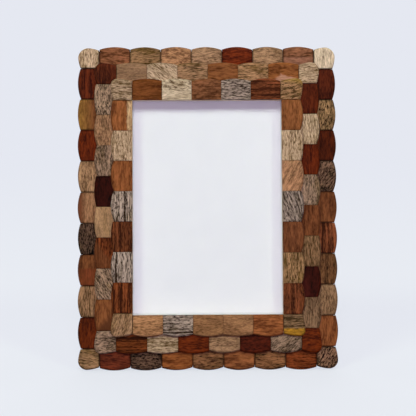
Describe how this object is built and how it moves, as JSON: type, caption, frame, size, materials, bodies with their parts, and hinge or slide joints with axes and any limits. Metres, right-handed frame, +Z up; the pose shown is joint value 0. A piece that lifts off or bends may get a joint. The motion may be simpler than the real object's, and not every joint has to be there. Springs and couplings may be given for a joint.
{
  "type": "picture frame",
  "caption": "Tabletop picture frame faced with lapped rings of small bowed wooden tiles, with glass, a removable back on turn buttons, a folding easel leg and a wall ring.",
  "frame": {"origin": "on the table surface, at the bottom centre of the box round the frame as it stands on its open leg", "axes": "+Z up, +X to the viewer's right, -Y towards the viewer; the face leans back 14 degrees from vertical"},
  "size_m": [0.203, 0.081, 0.247],
  "materials": {
    "outer_tile_wood": "oiled hardwood offcuts of mixed species",
    "middle_tile_wood": "oiled hardwood offcuts of mixed species",
    "inner_tile_wood": "oiled hardwood offcuts of mixed species",
    "base_wood": "dark stained, matt",
    "nail_steel": "bare steel",
    "clear_glass": "clear float glass",
    "print_paper": "matt",
    "grey_card": "uncoated",
    "back_board": "black faced fibreboard",
    "hinge_brass": "brass plated, satin",
    "zinc_steel": "zinc plated"
  },
  "bodies": {
    "frame": {"outer_tiles_top": "outer_tile_wood", "outer_tiles_bottom": "outer_tile_wood", "outer_tiles_left": "outer_tile_wood", "outer_tiles_right": "outer_tile_wood", "outer_corner_top_left": "outer_tile_wood", "outer_corner_top_right": "outer_tile_wood", "outer_corner_bottom_left": "outer_tile_wood", "outer_corner_bottom_right": "outer_tile_wood", "middle_tiles_top": "middle_tile_wood", "middle_tiles_bottom": "middle_tile_wood", "middle_tiles_left": "middle_tile_wood", "middle_tiles_right": "middle_tile_wood", "middle_corner_top_left": "middle_tile_wood", "middle_corner_top_right": "middle_tile_wood", "middle_corner_bottom_left": "middle_tile_wood", "middle_corner_bottom_right": "middle_tile_wood", "inner_tiles_top": "inner_tile_wood", "inner_tiles_bottom": "inner_tile_wood", "inner_tiles_left": "inner_tile_wood", "inner_tiles_right": "inner_tile_wood", "inner_corner_top_left": "inner_tile_wood", "inner_corner_top_right": "inner_tile_wood", "inner_corner_bottom_left": "inner_tile_wood", "inner_corner_bottom_right": "inner_tile_wood", "top_rail": "base_wood", "bottom_rail": "base_wood", "left_stile": "base_wood", "right_stile": "base_wood", "corner_nail_top_left": "nail_steel", "corner_nail_top_right": "nail_steel", "corner_nail_bottom_left": "nail_steel", "corner_nail_bottom_right": "nail_steel", "glass_pane": "clear_glass", "photo_insert": "print_paper", "filler_card": "grey_card", "backing_board": "back_board", "hinge_leaf_fixed": "hinge_brass", "hinge_pin": "zinc_steel", "leaf_rivet_left": "zinc_steel", "leaf_rivet_right": "zinc_steel", "button_screw_upper_left": "zinc_steel", "button_screw_upper_right": "zinc_steel", "button_screw_lower_left": "zinc_steel", "button_screw_lower_right": "zinc_steel", "hanger_strap": "zinc_steel", "hanger_screw": "zinc_steel"},
    "leg": {"easel_leg": "back_board", "hinge_leaf_leg": "hinge_brass", "leg_rivet_left": "zinc_steel", "leg_rivet_right": "zinc_steel"},
    "button_upper_left": {"turn_button_upper_left": "hinge_brass"},
    "button_upper_right": {"turn_button_upper_right": "hinge_brass"},
    "button_lower_left": {"turn_button_lower_left": "hinge_brass"},
    "button_lower_right": {"turn_button_lower_right": "hinge_brass"},
    "ring": {"hanger_ring": "zinc_steel"}
  },
  "joints": [
    {"name": "leg_hinge", "type": "hinge", "parent": "frame", "child": "leg", "pos_m": [0, 0.00811, 0.14299], "axis": [1, 0, 0], "range_deg": [-26, 0]},
    {"name": "turn_upper_left", "type": "hinge", "parent": "frame", "child": "button_upper_left", "pos_m": [-0.06925, 0.01391, 0.17453], "axis": [0, 0.9703, -0.2419], "continuous": true},
    {"name": "turn_upper_right", "type": "hinge", "parent": "frame", "child": "button_upper_right", "pos_m": [0.06925, 0.01391, 0.17453], "axis": [0, 0.9703, -0.2419], "continuous": true},
    {"name": "turn_lower_left", "type": "hinge", "parent": "frame", "child": "button_lower_left", "pos_m": [-0.06925, -0.0127, 0.06779], "axis": [0, 0.9703, -0.2419], "continuous": true},
    {"name": "turn_lower_right", "type": "hinge", "parent": "frame", "child": "button_lower_right", "pos_m": [0.06925, -0.0127, 0.06779], "axis": [0, 0.9703, -0.2419], "continuous": true},
    {"name": "ring_swing", "type": "hinge", "parent": "frame", "child": "ring", "pos_m": [0, 0.02795, 0.22256], "axis": [1, 0, 0], "range_deg": [-14, 150]}
  ]
}
